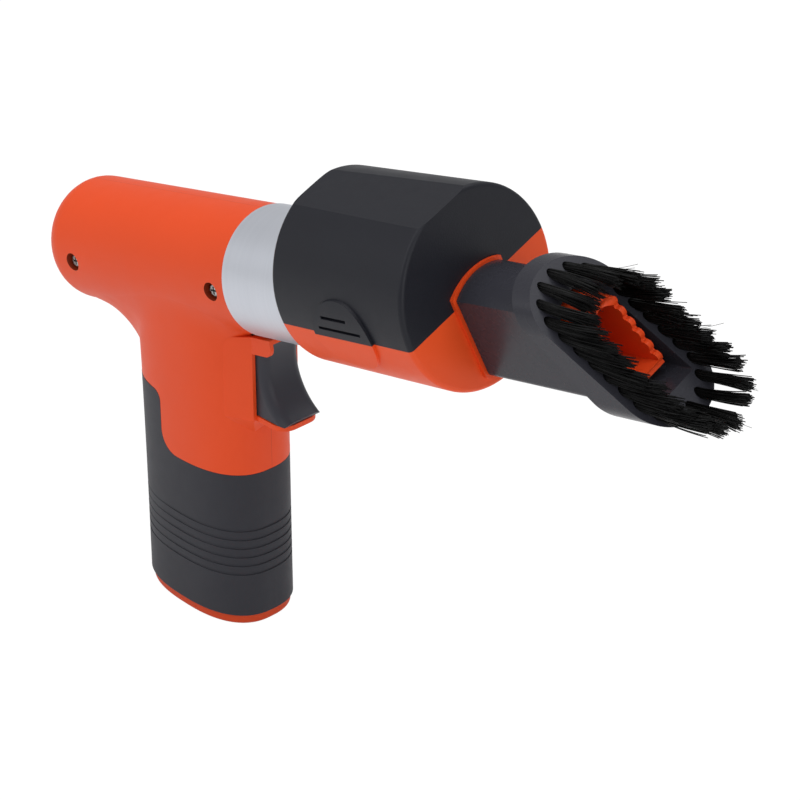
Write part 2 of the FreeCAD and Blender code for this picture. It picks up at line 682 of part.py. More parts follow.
# ---------------------------------------------------------------- bayonet and filter
def sector(radius, start, end, centre_turn, arc):
    """A wedge of a round bar, centred on one angle from +Z towards -Y."""
    wedge = Part.makeCylinder(radius, end - start, Vector(0, 0, 0), Z_AXIS, arc)
    wedge.rotate(Vector(0, 0, 0), Z_AXIS, -arc / 2)
    wedge.rotate(Vector(0, 0, 0), Y_AXIS, 90)
    wedge.rotate(Vector(0, 0, 0), X_AXIS, 180 + centre_turn)
    wedge.translate(Vector(start, 0, 0))
    return wedge


def bayonet_socket():
    """Ring in the collar, with an entry slot and a turning channel for each lug."""
    thick = tube(SPIGOT_R, SOCKET_BORE, SPIGOT_LENGTH + 0.1, RING_LENGTH)
    thin = tube(SPIGOT_R - WALL - SEAT, SOCKET_BORE, 28.0, SPIGOT_LENGTH + 1)
    ring = join([thick, thin])
    cuts = []
    for i in range(3):
        turn = 120 * i
        wide = LUG_ARC + 4
        cuts.append(sector(LUG_R + FREE, LUG_X[0] - FREE, RING_LENGTH + 1, turn, wide))
        cuts.append(sector(LUG_R + FREE, LUG_X[0] - FREE, LUG_X[1] + FREE, turn - LOCK_TURN / 2, wide + LOCK_TURN))
    core = rod(SOCKET_BORE - 1, 20, 60)
    cuts = [piece.cut(core) for piece in cuts]
    return put(cut(ring, cuts), BARREL_ROLLED)


def filter_frame():
    """Filter carrier: a neck with three bayonet lugs, and the flange for the seal."""
    neck_tube = tube(NECK_R, 15.0, 31.0, 47.2)
    flange = tube(19.7, 15.0, CUP_REAR, 47.2)
    lugs = [sector(LUG_R, LUG_X[0], LUG_X[1], 120 * i, LUG_ARC).cut(rod(16, 30, 50)) for i in range(3)]
    key = block((CUP_REAR + 0.2, 46.6), (-1.5, 1.5), (18.5, 22.4))
    shape = join([neck_tube, flange] + lugs).cut(tube(25.0, SEAL_R - 0.9, 45.2, 47.0))
    return put(join([shape, key]), BARREL_ROLLED)


def filter_seal():
    """Rubber ring in the flange's groove, which closes on the cup's back plate."""
    ring = Part.makeTorus(SEAL_R, 0.8, Vector(46.1, 0, 0), X_AXIS)
    gap = block((40, 50), (-2.0, 2.0), (10, 40))
    return put(ring.cut(gap), BARREL_ROLLED)


def filter_cage():
    """Open cage that keeps coarse dirt off the pleated filter."""
    wall = tube(17.2, 16.2, 47.3, 76.0)
    end = rod(17.2, 75.0, 76.0)
    windows = []
    for i in range(6):
        window = block((50.5, 72.5), (-6.4, 6.4), (10, 25))
        window.rotate(Vector(0, 0, 0), X_AXIS, 60 * i)
        windows.append(window)
    return put(cut(join([wall, end]), windows), BARREL_ROLLED)


def filter_media():
    """Pleated paper filter inside the cage."""
    pleats = 20
    points = []
    for i in range(2 * pleats):
        turn = math.pi * i / pleats
        radius = 15.8 if i % 2 else 12.4
        points.append(Vector(47.4, radius * math.cos(turn), radius * math.sin(turn)))
    face = Part.Face(Part.makePolygon(points + [points[0]]))
    star = face.extrude(Vector(27.2, 0, 0))
    return put(star.cut(rod(10.6, 46, 73)), BARREL_ROLLED)


# ---------------------------------------------------------------- dust cup (cup frame)
def cup_solid(offset):
    """The round cup with the flat along its top."""
    length = CUP_FRONT - CUP_REAR
    cone = Part.makeCone(CUP_R_REAR - offset, CUP_R_FRONT - offset, length, Vector(CUP_REAR, 0, 0), X_AXIS)
    if offset == 0:
        rims = [e for e in edges_at(cone, "x", CUP_FRONT) + edges_at(cone, "x", CUP_REAR)]
        cone = cone.makeFillet(CUP_EDGE, rims)
    flat = block((0, 200), (-60, 60), (CUP_FLAT - offset, 80))
    return cone.cut(flat)


def duct_outline(x, half, low, high, crown):
    """Outline of the duct: upright sides, a flat bottom and an arched top."""
    corners = [Vector(x, -half, high), Vector(x, -half, low), Vector(x, half, low), Vector(x, half, high)]
    sides = [Part.LineSegment(corners[i], corners[i + 1]).toShape() for i in range(3)]
    arch = Part.Arc(corners[3], Vector(x, 0, high + crown), corners[0]).toShape()
    return Part.Wire(sides + [arch])


def duct(start, end, inset):
    """A straight length of the duct, drawn in by an inset."""
    wire = duct_outline(start, DUCT_WIDTH / 2 - inset, DUCT_LOW + inset, DUCT_HIGH - inset * 0.7, DUCT_CROWN)
    solid = Part.Face(wire).extrude(Vector(end - start, 0, 0))
    long_edges = [e for e in solid.Edges
                  if e.BoundBox.XLength > 1 and abs(e.BoundBox.ZMin - (DUCT_LOW + inset)) < 0.01]
    return solid.makeFillet(max(2.4 - inset, 0.6), long_edges)


def boss(side):
    """Raised oval finger grip on the side of the cup, centred on the split line."""
    pad = cross_rod(13.8, 77.0, 0, 0, 40) if side > 0 else cross_rod(13.8, 77.0, 0, -40, 0)
    ring = tube(CUP_R_FRONT + 0.9, CUP_R_REAR - 1.0, 60.0, 94.0)
    return pad.common(ring)


def cup_shell():
    """Both halves of the cup together, hollow, with the nozzle hole in the front wall."""
    inside = cup_solid(WALL).common(block((CUP_REAR - 1, CUP_FRONT - WALL), (-60, 60), (-60, 60)))
    shell = cup_solid(0).cut(inside)
    shell = shell.cut(duct(CUP_FRONT - 10, CUP_FRONT + 5, -RIM - 0.05))
    back = rod(BACK_R + SEAT, CUP_REAR - 5, CUP_REAR + 8, 0, -CUP_OFFSET)
    shell = shell.cut(back.common(cup_solid(0.8)))
    grips = [boss(side) for side in (-1, 1)]
    return join([shell] + [grip_pad.cut(cup_solid(1.0)) for grip_pad in grips])


def cup_half(upper):
    """One half of the cup, split on its level middle plane."""
    low, high = (0.0, 80.0) if upper else (-80.0, 0.0)
    shape = CUP_SHELL.common(block((0, 200), (-80, 80), (low, high)))
    if upper:
        slots = []
        for side in (-1, 1):
            for x, z, reach in ((75.2, 7.4, 6.0), (76.7, 3.3, 10.0)):
                y = (CUP_R_REAR - 0.6, 40) if side > 0 else (-40, -CUP_R_REAR + 0.6)
                slots.append(block((x - reach, x + reach), y, (z - 0.55, z + 0.55)))
        shape = cut(shape, slots)
        ears = []
        for y in (11.6, -13.6):
            ear = block((FLAP_X - 2.6, CUP_FRONT - WALL + 0.2), (y, y + 2.0), (FLAP_Z - 2.6, FLAP_Z + 2.6))
            ears.append(ear)
        shape = join([shape] + ears)
        shape = shape.cut(cross_rod(FLAP_PIN_R + RUN, FLAP_X, FLAP_Z, -20, 20))
    return put(max(shape.Solids, key=lambda s: s.Volume), CUP)


def cup_back():
    """Back plate of the cup, open round the filter's flange, with the key's notch."""
    plate = cup_solid(WALL + SEAT).common(block((CUP_REAR + 0.1, CUP_REAR + 2.6), (-60, 60), (-60, 60)))
    hole = rod(BACK_R, 40, 50, 0, -CUP_OFFSET)
    notch = block((40, 50), (-1.8, 1.8), (-CUP_OFFSET + 15, -CUP_OFFSET + 22.7))
    return put(cut(plate, [hole, notch]), CUP)


def crevice_nozzle():
    """Orange nozzle through the cup's front wall, with its rim and toothed mouth."""
    root_half = DUCT_WIDTH / 2 - ROOT_INSET
    root_high = DUCT_HIGH - ROOT_INSET * 0.7
    front = 175.0
    wires = []
    for x in (DUCT_BACK, CUP_FRONT + 2):
        wires.append(duct_outline(x, root_half, DUCT_LOW + ROOT_INSET, root_high, DUCT_CROWN))
    wires.append(duct_outline(front, MOUTH_WIDTH / 2, MOUTH_LOW, MOUTH_HIGH - 2, 2.0))
    outer = join([Part.makeLoft(wires[:2], True, True), Part.makeLoft(wires[1:], True, True)])
    wires = []
    for x in (DUCT_BACK - 1, CUP_FRONT + 2):
        wires.append(duct_outline(x, root_half - NOZZLE_WALL, DUCT_LOW + ROOT_INSET + NOZZLE_WALL,
                                  root_high - NOZZLE_WALL, DUCT_CROWN))
    wires.append(duct_outline(front + 1, MOUTH_WIDTH / 2 - LIP_WALL, MOUTH_LOW + LIP_WALL,
                              MOUTH_HIGH - 2 - LIP_WALL, 2.0))
    inner = join([Part.makeLoft(wires[:2], True, True), Part.makeLoft(wires[1:], True, True)])
    rim = duct(CUP_FRONT - WALL, CUP_FRONT + RIM_PROUD, -RIM).common(cup_rim_limit())
    shape = join([outer, rim]).cut(inner)
    return put(shape.cut(mouth_tool()), CUP)


def cup_rim_limit():
    """Keeps the rim within the cup's round front."""
    return rod(CUP_R_FRONT - CUP_EDGE, 90, 130)


def mouth_tool():
    """Everything in front of the slanted mouth, less the teeth on its side walls."""
    middle = BRUSH_V
    tool = block((0, 60), (-30, 30), (-60, 60))
    first = -TOOTH_PITCH * (TEETH - 1) / 2
    teeth = [cross_rod(TOOTH_R, -0.5, first + TOOTH_PITCH * i, -30, 30) for i in range(TEETH)]
    tool = tool.cut(teeth)
    tool.rotate(Vector(0, 0, 0), Y_AXIS, -MOUTH_TILT)
    tool.translate(Vector(MOUTH_X, 0, middle))
    return tool


def inlet_flap():
    """Rubber flap that hangs behind the nozzle and keeps the dirt in."""
    plate = block((FLAP_X + 0.9, FLAP_X + 2.3), (-10.8, 10.8), (DUCT_LOW + 1.0, FLAP_Z))
    knuckle = cross_rod(2.0, FLAP_X, FLAP_Z, -10.8, 10.8)
    return put(join([plate, knuckle]).cut(cross_rod(FLAP_PIN_R, FLAP_X, FLAP_Z, -12, 12)), CUP)


def flap_pin():
    """Pin on which the flap swings, pressed into the flap's knuckle."""
    return put(cross_rod(FLAP_PIN_R, FLAP_X, FLAP_Z, -13.5, 13.5), CUP)


# ---------------------------------------------------------------- brush (cup frame)
def slant(x, z, degrees, sign):
    """A large block whose back (sign 1) or front (sign -1) is a slanted plane."""
    x_range = (0, 200) if sign > 0 else (-200, 0)
    tool = block(x_range, (-100, 100), (-150, 150))
    tool.rotate(Vector(0, 0, 0), Y_AXIS, -degrees)
    tool.translate(Vector(x, 0, z))
    return tool


def brush_prism(inset, start, end):
    """The brush's oval as seen along the barrel: a slanted slot shape, foreshortened."""
    half = BRUSH_WIDTH / 2 - inset
    shrink = math.cos(math.radians(BRUSH_TILT))
    straight = (BRUSH_LENGTH - BRUSH_WIDTH) / 2 * shrink
    corner = Vector(start, half, BRUSH_V + straight)
    down = Vector(start, half, BRUSH_V - straight)
    down_left = Vector(start, -half, BRUSH_V - straight)
    up_left = Vector(start, -half, BRUSH_V + straight)
    top = end_curve(start, BRUSH_V + straight, half, half * shrink, 1)
    bottom = end_curve(start, BRUSH_V - straight, half, half * shrink, -1)
    edges = [Part.LineSegment(down, corner).toShape(), top,
             Part.LineSegment(up_left, down_left).toShape(), bottom]
    return Part.Face(Part.Wire(edges)).extrude(Vector(end - start, 0, 0))


def end_curve(x, z, half, rise, sign):
    """Half an ellipse across the end of the oval."""
    ellipse = Part.Ellipse(Vector(x, half, z), Vector(x, 0, z + sign * rise), Vector(x, 0, z))
    start = ellipse.parameter(Vector(x, half, z))
    return Part.ArcOfEllipse(ellipse, start, start + math.pi).toShape()


def tuft_places():
    """Middle of each tuft hole on the brush face, and its outward direction."""
    inset = 4.0
    half = BRUSH_WIDTH / 2 - inset
    straight = (BRUSH_LENGTH - BRUSH_WIDTH) / 2
    around = 4 * straight + 2 * math.pi * half
    places = []
    for i in range(TUFTS):
        s = around * (i + 0.5) / TUFTS
        if s < 2 * straight:
            across, along, out = half, -straight + s, (1.0, 0.0)
        elif s < 2 * straight + math.pi * half:
            turn = (s - 2 * straight) / half
            across, along = half * math.cos(turn), straight + half * math.sin(turn)
            out = (math.cos(turn), math.sin(turn))
        elif s < 4 * straight + math.pi * half:
            across, along = -half, straight - (s - 2 * straight - math.pi * half)
            out = (-1.0, 0.0)
        else:
            turn = math.pi + (s - 4 * straight - math.pi * half) / half
            across, along = half * math.cos(turn), -straight + half * math.sin(turn)
            out = (math.cos(turn), math.sin(turn))
        lean = math.radians(BRUSH_TILT)
        point = Vector(BRUSH_X - along * math.sin(lean), across, BRUSH_V + along * math.cos(lean))
        fan = math.tan(math.radians(TUFT_FAN))
        direction = Vector(1, fan * out[0], fan * out[1] + 0.04 - TUFT_DROOP * (1 + out[1]))
        places.append((point, direction.normalize()))
    return places


def brush_head():
    """Dark duct that slides over the nozzle, with the slanted oval brush plate."""
    sleeve = duct(CUP_FRONT + RIM_PROUD + FREE, 185.0, 0)
    plate = brush_prism(0, 120.0, 210.0).cut(slant(BRUSH_BACK_X, BRUSH_V, BRUSH_BACK_TILT, -1))
    shape = join([sleeve, plate]).cut(slant(BRUSH_X, BRUSH_V, BRUSH_TILT, 1))
    bore = duct(CUP_FRONT, 200.0, BORE_INSET)
    holes = []
    for point, direction in tuft_places():
        start = point - direction * TUFT_ROOT
        holes.append(Part.makeCylinder(TUFT_R + 0.05, 14, start, direction))
    return put(cut(shape.cut(bore), holes), CUP)


def bristle_tufts():
    """One plain solid for each tuft of bristles, spread towards its tip."""
    tufts = []
    for point, direction in tuft_places():
        start = point - direction * (TUFT_ROOT - 0.05)
        length = TUFT_LENGTH + TUFT_ROOT
        stem = Part.makeCylinder(TUFT_R, TUFT_ROOT + 3.2, start, direction)
        spread_start = start + direction * (TUFT_ROOT + 3.0)
        spread = Part.makeCone(TUFT_R, TUFT_TIP_R, length - TUFT_ROOT - 3.0, spread_start, direction)
        tufts.append(put(join([stem, spread]), CUP))
    return Part.Compound(tufts)


# ---------------------------------------------------------------- build
HOUSING_OUT = housing_solid()
HOUSING_IN = housing_hollow()
HOUSING_KEEP = list(nose_hollow())
CUP_SHELL = cup_shell()

NODES = {
    "housing_left": lambda: housing(1),
    "housing_right": lambda: housing(-1),
    "collar_ring": collar_ring,
    "handle_sleeve": handle_sleeve,
    "base_cap": base_cap,
    "housing_screws": housing_screws,
    "motor_can": motor_can,
    "motor_mount": motor_mount,
    "fan_shroud": fan_shroud,
    "rotor_shaft": rotor_shaft,
    "impeller": impeller,
    "battery_cells": battery_cells,
    "battery_frame": battery_frame,
    "control_board": control_board,
    "charge_socket": charge_socket,
    "trigger_switch": trigger_switch,
    "trigger_spring": trigger_spring,
    "trigger": trigger,
    "bayonet_socket": bayonet_socket,
    "filter_frame": filter_frame,
    "filter_seal": filter_seal,
    "filter_cage": filter_cage,
    "filter_media": filter_media,
    "cup_upper": lambda: cup_half(True),
    "cup_lower": lambda: cup_half(False),
    "cup_back": cup_back,
    "crevice_nozzle": crevice_nozzle,
    "inlet_flap": inlet_flap,
    "flap_pin": flap_pin,
    "brush_head": brush_head,
    "bristle_tufts": bristle_tufts,
}

for name, make in NODES.items():
    shape = make()
    shape.exportStep("parts/" + name + ".step")
    print(name, len(shape.Solids), round(shape.Volume), shape.isValid(), flush=True)
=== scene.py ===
import math

import bpy
import numpy as np
from mathutils import Matrix, Vector


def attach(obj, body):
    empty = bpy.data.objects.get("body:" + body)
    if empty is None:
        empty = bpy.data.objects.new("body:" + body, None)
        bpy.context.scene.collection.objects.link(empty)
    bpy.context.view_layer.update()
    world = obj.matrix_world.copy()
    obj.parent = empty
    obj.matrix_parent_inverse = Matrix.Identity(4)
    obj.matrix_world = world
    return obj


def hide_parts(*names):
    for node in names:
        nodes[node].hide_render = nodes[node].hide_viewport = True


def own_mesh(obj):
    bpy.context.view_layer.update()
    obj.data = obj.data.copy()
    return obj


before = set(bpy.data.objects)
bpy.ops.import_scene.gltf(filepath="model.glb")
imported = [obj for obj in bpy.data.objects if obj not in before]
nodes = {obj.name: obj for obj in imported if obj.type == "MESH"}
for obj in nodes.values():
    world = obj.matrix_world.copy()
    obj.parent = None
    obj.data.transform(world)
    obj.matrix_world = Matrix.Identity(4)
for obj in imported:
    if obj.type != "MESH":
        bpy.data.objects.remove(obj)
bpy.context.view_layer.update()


# ---------------------------------------------------------------- camera
# A long lens a little over arm's length away, at the right front of the cleaner and
# above it. Its three axes are given as unit rows: to the right, up, and backwards.
camera_data = bpy.data.cameras.new("camera")
camera_data.sensor_width = 36.0
camera_data.lens = 109.84
camera = bpy.data.objects.new("camera", camera_data)
camera_rows = Matrix(((0.69729, 0.71677, 0.00407),
                      (-0.35461, 0.34003, 0.87100),
                      (0.62293, -0.60878, 0.49127)))
camera.matrix_world = Matrix.Translation((0.6254, -0.5133, 0.5389)) @ camera_rows.transposed().to_4x4()
bpy.context.scene.collection.objects.link(camera)
bpy.context.scene.camera = camera


# ---------------------------------------------------------------- housing
# The two clamshells of barrel and neck are injection-moulded ABS in one orange, with a
# fine spark-eroded texture. They meet on the middle plane in a hairline parting line, and
# shade is painted into the colour round the deep pockets of the side screws.
class Wire:
    """A socket of a finish. Arithmetic on it adds Math nodes, on either side of a number."""

    def __init__(self, finish, socket):
        self.finish = finish
        self.socket = socket

    def math(self, operation, first, second):
        return self.finish.node("ShaderNodeMath", {"operation": operation}, {0: first, 1: second})

    def __add__(self, other):
        return self.math("ADD", self, other)

    def __sub__(self, other):
        return self.math("SUBTRACT", self, other)

    def __mul__(self, other):
        return self.math("MULTIPLY", self, other)

    def __truediv__(self, other):
        return self.math("DIVIDE", self, other)

    def __rsub__(self, other):
        return self.math("SUBTRACT", other, self)

    def __rtruediv__(self, other):
        return self.math("DIVIDE", other, self)

    __radd__ = __add__
    __rmul__ = __mul__

    def above(self, limit):
        return self.math("GREATER_THAN", self, limit)

    def below(self, limit):
        return self.math("LESS_THAN", self, limit)

    def size(self):
        return self.math("ABSOLUTE", self, 0.0)


class Finish:
    """A material on one Principled shader, with Object coordinates ready as .place."""

    def __init__(self, name, **constant):
        self.material = bpy.data.materials.new(name)
        self.material.use_nodes = True
        self.tree = self.material.node_tree
        self.shader = self.tree.nodes["Principled BSDF"]
        for key, value in constant.items():
            self.shader.inputs[key.replace("_", " ")].default_value = value
        self.place = self.node("ShaderNodeTexCoord", {}, {}, "Object")

    def node(self, kind, settings, sockets, out=0):
        """Any node: settings first, a ramp's stops among them, then each socket's value or link."""
        made = self.tree.nodes.new(kind)
        for key, value in settings.items():
            if key == "stops":
                made.color_ramp.elements[0].position = value[0][0]
                made.color_ramp.elements[1].position = value[1][0]
                for element, stop in zip(made.color_ramp.elements, value):
                    element.color = (stop[1], stop[1], stop[1], 1.0)
            else:
                setattr(made, key, value)
        for key, value in sockets.items():
            if isinstance(value, Wire):
                self.tree.links.new(value.socket, made.inputs[key])
            else:
                made.inputs[key].default_value = value
        return Wire(self, made.outputs[out])

    def noise(self, scale, detail=2.0, place=None):
        sockets = {"Vector": place or self.place, "Scale": scale, "Detail": detail}
        return self.node("ShaderNodeTexNoise", {}, sockets)

    def ramp(self, factor, *stops):
        return self.node("ShaderNodeValToRGB", {"stops": stops}, {"Fac": factor})

    def tint(self, factor, first, second):
        """A colour between two others."""
        colours = {0: factor, 6: first, 7: second}
        return self.node("ShaderNodeMix", {"data_type": "RGBA"}, colours, 2)

    def feed(self, socket, wire):
        self.tree.links.new(wire.socket, self.shader.inputs[socket])

    def bump(self, height, distance, strength=1.0):
        raised = {"Height": height, "Distance": distance, "Strength": strength}
        self.feed("Normal", self.node("ShaderNodeBump", {}, raised))


def shade(colour, factor):
    """A colour made lighter or darker, with full alpha."""
    return tuple(min(part * factor, 1.0) for part in colour) + (1.0,)


def moulded(name, colour, roughness, grain=2400.0, depth=0.00002, drift=0.05):
    """Moulded plastic: colour drifts slowly by a few percent, and a fine grain roughens it.

    Colour = base x (1 +- drift by a slow noise); roughness = given +- a tenth by a middling
    noise; height = fine noise of the spark-eroded tool.
    """
    finish = Finish(name, Specular_IOR_Level=0.26)
    slow = finish.noise(28.0, 3.0)
    fine = finish.noise(grain, 1.0)
    finish.cloud = finish.tint(slow, shade(colour, 1 - drift), shade(colour, 1 + drift))
    finish.feed("Base Color", finish.cloud)
    finish.feed("Roughness", finish.noise(160.0, 2.0) * 0.12 + (roughness - 0.06))
    finish.bump(fine, depth)
    return finish


def coat(node, material):
    """Gives every material slot of a CAD node one finish."""
    for slot in nodes[node].material_slots:
        slot.material = material


orange = (0.760, 0.070, 0.011)
housing_finish = moulded("orange_housing", orange, 0.47)
sideways = housing_finish.node("ShaderNodeSeparateXYZ", {}, {0: housing_finish.place}, "Y")
off_plane = sideways.size()
SEAM_HALF_WIDTH = 0.00009
POCKET_RADIUS = 0.00353
REAR_POCKET = (-0.05274, 0.0, 0.13135)  # on the right side only
FRONT_POCKET = (0.02828, 0.0, 0.14842)  # on both sides
seam = off_plane.below(SEAM_HALF_WIDTH)
flattened = {"Vector": housing_finish.place, "Scale": (1.0, 0.0, 1.0)}
flat = housing_finish.node("ShaderNodeMapping", {}, flattened)
apart = {"operation": "DISTANCE"}
from_rear = housing_finish.node("ShaderNodeVectorMath", apart, {0: flat, 1: REAR_POCKET}, "Value")
from_front = housing_finish.node("ShaderNodeVectorMath", apart, {0: flat, 1: FRONT_POCKET}, "Value")
# Painted shade: round each side screw the colour is mixed towards a near-black orange, for the shade deep in
# its pocket.
pocket_painted_shade = from_rear.below(POCKET_RADIUS) * sideways.below(0.0) + from_front.below(POCKET_RADIUS)
worn = housing_finish.tint(seam * 0.45, housing_finish.cloud, (0.25, 0.03, 0.015, 1))
housing_finish.feed("Base Color", housing_finish.tint(pocket_painted_shade * 0.72, worn, (0.06, 0.012, 0.006, 1)))
for shell in ("housing_left", "housing_right"):
    coat(shell, housing_finish.material)


# ---------------------------------------------------------------- foot
# The cap that closes the grip and carries the cleaner is the same orange plastic, with
# shade painted in: its colour is darker than the housing's, for the floor's shade round
# the foot. It is scuffed a little on its lower edge, where it slides on tables.
# Painted shade: the base colour is the housing orange darkened by about a sixth.
foot_painted_shade_finish = moulded("orange_foot_painted_shade", (0.62, 0.058, 0.010), 0.5)
height_up = foot_painted_shade_finish.node("ShaderNodeSeparateXYZ", {}, {0: foot_painted_shade_finish.place}, "Z")
scuffs = foot_painted_shade_finish.ramp(foot_painted_shade_finish.noise(420.0, 4.0), (0.56, 0.0), (0.62, 1.0)) * height_up.below(0.0012)
foot_painted_shade_finish.feed("Base Color", foot_painted_shade_finish.tint(scuffs * 0.35, foot_painted_shade_finish.cloud, (0.6, 0.22, 0.14, 1)))
coat("base_cap", foot_painted_shade_finish.material)


# ---------------------------------------------------------------- sleeve
# A soft-touch rubber sleeve is moulded over the grip. It is dull charcoal, with a very
# fine matt skin that catches a broad pale sheen.
charcoal = (0.0255, 0.026, 0.033)
sleeve_finish = moulded("rubber_sleeve", charcoal, 0.62, 3200.0, 0.00002, 0.08)
sleeve_finish.shader.inputs["Sheen Weight"].default_value = 0.08
sleeve_finish.shader.inputs["Sheen Roughness"].default_value = 0.5
coat("handle_sleeve", sleeve_finish.material)


# ---------------------------------------------------------------- collar
# A turned and anodised aluminium ring. The lathe leaves hair-fine rings round it, too
# fine to see one by one, that spread its highlight along the barrel.
LEAN = math.radians(11.9)
collar_finish = Finish("turned_aluminium", Metallic=0.75, IOR=1.8)
turned = {"Vector": collar_finish.place, "Rotation": (0, LEAN, 0)}
along_barrel = collar_finish.node("ShaderNodeMapping", {}, turned)
stretched = collar_finish.node("ShaderNodeMapping", {}, {"Vector": along_barrel, "Scale": (1.0, 0.01, 0.01)})
rings = collar_finish.noise(5200.0, 2.0, stretched)
bands = collar_finish.noise(400.0, 2.0, stretched)
collar_finish.feed("Base Color", collar_finish.tint(bands, (0.57, 0.59, 0.64, 1), (0.65, 0.67, 0.72, 1)))
collar_finish.feed("Roughness", rings * 0.08 + 0.40)
collar_finish.bump(rings, 0.000006)
coat("collar_ring", collar_finish.material)


# ---------------------------------------------------------------- screws
# Pan-head steel screws with a cross recess, nickel plated. A noise mixes the nickel with
# near black over the whole head. They sit deep in their round pockets.
screw_finish = Finish("nickel_screws", Metallic=1.0)
nickel_mix_noise = screw_finish.noise(900.0, 3.0)
screw_finish.feed("Base Color", screw_finish.tint(nickel_mix_noise, (0.05, 0.048, 0.046, 1), (0.70, 0.69, 0.67, 1)))
screw_finish.feed("Roughness", nickel_mix_noise * 0.25 + 0.16)
screw_finish.bump(nickel_mix_noise, 0.00001)
coat("housing_screws", screw_finish.material)


# ---------------------------------------------------------------- trigger
# The trigger is glass-filled nylon with a satin finish.
satin_grey = (0.036, 0.036, 0.045)
trigger_finish = moulded("trigger_nylon", satin_grey, 0.42, 1900.0, 0.000016, 0.08)
coat("trigger", trigger_finish.material)


# ---------------------------------------------------------------- dust cup
# The cup's upper half is black ABS with the same fine texture, which holds a few specks
# of pale dust. The lower half and the nozzle inside the brush are orange.
cup_black = (0.0105, 0.0110, 0.0160)
cup_finish = moulded("black_cup", cup_black, 0.46, 2200.0, 0.000045, 0.10)
cells = {"Vector": cup_finish.place, "Scale": 230.0}
dust_cell = cup_finish.node("ShaderNodeTexVoronoi", {}, cells, "Distance")
chosen = cup_finish.node("ShaderNodeTexVoronoi", {}, cells, "Color")
picked = cup_finish.node("ShaderNodeSeparateColor", {}, {0: chosen}).above(0.93)
dust = dust_cell.below(0.040) * picked
cup_finish.feed("Base Color", cup_finish.tint(dust * 0.8, cup_finish.cloud, (0.55, 0.55, 0.55, 1)))
coat("cup_upper", cup_finish.material)

cup_orange = moulded("orange_cup", (0.80, 0.080, 0.013), 0.45)
coat("cup_lower", cup_orange.material)
nozzle_finish = moulded("orange_nozzle", (0.80, 0.070, 0.012), 0.38, 2000.0, 0.00001)
coat("crevice_nozzle", nozzle_finish.material)


# ---------------------------------------------------------------- brush sleeve
# A dark satin duct slides over the nozzle and widens into the slanted oval plate. It is
# smoother than the cup, and mirrors the orange half beside it.
brush_finish = moulded("brush_sleeve", (0.031, 0.031, 0.039), 0.27, 1700.0, 0.000012, 0.06)
coat("brush_head", brush_finish.material)


# ---------------------------------------------------------------- bristles
# Stiff black nylon filaments, folded and stapled into round holes round the edge of the
# oval plate. Each tuft splays a little and its filaments clump into ragged points.
MM = 0.001
RING = Vector((0.0356, 0.0, 0.1515))
TWIST = math.radians(18.7)
CUP_UP = 10.3
FACE_TILT = math.radians(43.5)
FACE_X, FACE_V = 165.9, -10.5
OVAL_HALF = 34.2 / 2 - 4.0
OVAL_STRAIGHT = (67.2 - 34.2) / 2
TUFTS = 24
TUFT_RADIUS = 1.45
TUFT_LENGTH = 19.0
TUFT_ROOT = 2.8
FAN = math.radians(6.0)
LIFT = 0.04
DROOP = 0.12
FILAMENTS = 72
FILAMENT_RADIUS = 0.19
RINGS = 8
SIDES = 4


def cup_to_object(points):
    """Carries cup-frame millimetres into the object: lift, twist, lean, then shift and scale."""
    turn = Matrix.Rotation(-LEAN, 3, "Y") @ Matrix.Rotation(TWIST, 3, "X")
    lifted = points + np.array([0.0, 0.0, CUP_UP])
    return lifted @ np.array(turn).T * MM + np.array(RING)


def tuft_layout():
    """Middle and direction of each tuft, evenly spaced along the oval's centre line.

    The path runs up one straight side, round the top end, down the other side and round the
    bottom end, laid on a plane that leans back by the face's tilt.
    """
    end = math.pi * OVAL_HALF
    side = 2 * OVAL_STRAIGHT
    run = (np.arange(TUFTS) + 0.5) / TUFTS * 2 * (side + end)
    top = np.clip((run - side) / OVAL_HALF, 0.0, math.pi)
    bottom = np.clip((run - 2 * side - end) / OVAL_HALF, 0.0, math.pi)
    turn = top + bottom
    climb = np.clip(run, 0.0, side) - np.clip(run - side - end, 0.0, side)
    out_across, out_along = np.cos(turn), np.sin(turn)
    across = OVAL_HALF * out_across
    along = climb - OVAL_STRAIGHT + OVAL_HALF * out_along
    middle = np.stack([FACE_X - along * math.sin(FACE_TILT), across,
                       FACE_V + along * math.cos(FACE_TILT)], -1)
    fan = math.tan(FAN)
    direction = np.stack([np.ones(TUFTS), fan * out_across,
                          fan * out_along + LIFT - DROOP * (1 + out_along)], -1)
    return middle, direction / np.linalg.norm(direction, axis=1, keepdims=True), out_across, out_along


def sweep_filaments(lines, radius, guide=(0.13, 0.2, 0.97)):
    """Thin square tubes along many polylines at once: (vertices, faces).

    lines is filaments x rings x 3. Each ring is a square of the given radii (filaments x
    rings) across the line's own direction, and the ends are closed by one face each. The
    guide is a direction that no line runs along.
    """
    count, rings, _ = lines.shape
    ahead = np.gradient(lines, axis=1)
    ahead /= np.linalg.norm(ahead, axis=2, keepdims=True)
    side = np.cross(ahead, np.array(guide))
    side /= np.linalg.norm(side, axis=2, keepdims=True)
    up = np.cross(side, ahead)
    angle = np.arange(SIDES) / SIDES * 2 * math.pi
    ring = (side[:, :, None] * np.cos(angle)[None, None, :, None]
            + up[:, :, None] * np.sin(angle)[None, None, :, None])
    vertices = lines[:, :, None] + ring * radius[:, :, None, None]
    f, r, s = np.meshgrid(np.arange(count), np.arange(rings - 1), np.arange(SIDES), indexing="ij")
    base = f * rings * SIDES
    here = base + r * SIDES
    corners = [here + s, here + (s + 1) % SIDES, here + SIDES + (s + 1) % SIDES, here + SIDES + s]
    quads = np.stack(corners, -1).reshape(-1, 4)
    start = np.arange(count)[:, None] * rings * SIDES
    roots = start + np.arange(SIDES)[None, ::-1]
    tips = start + (rings - 1) * SIDES + np.arange(SIDES)[None]
    return vertices.reshape(-1, 3), np.concatenate([quads, roots, tips])


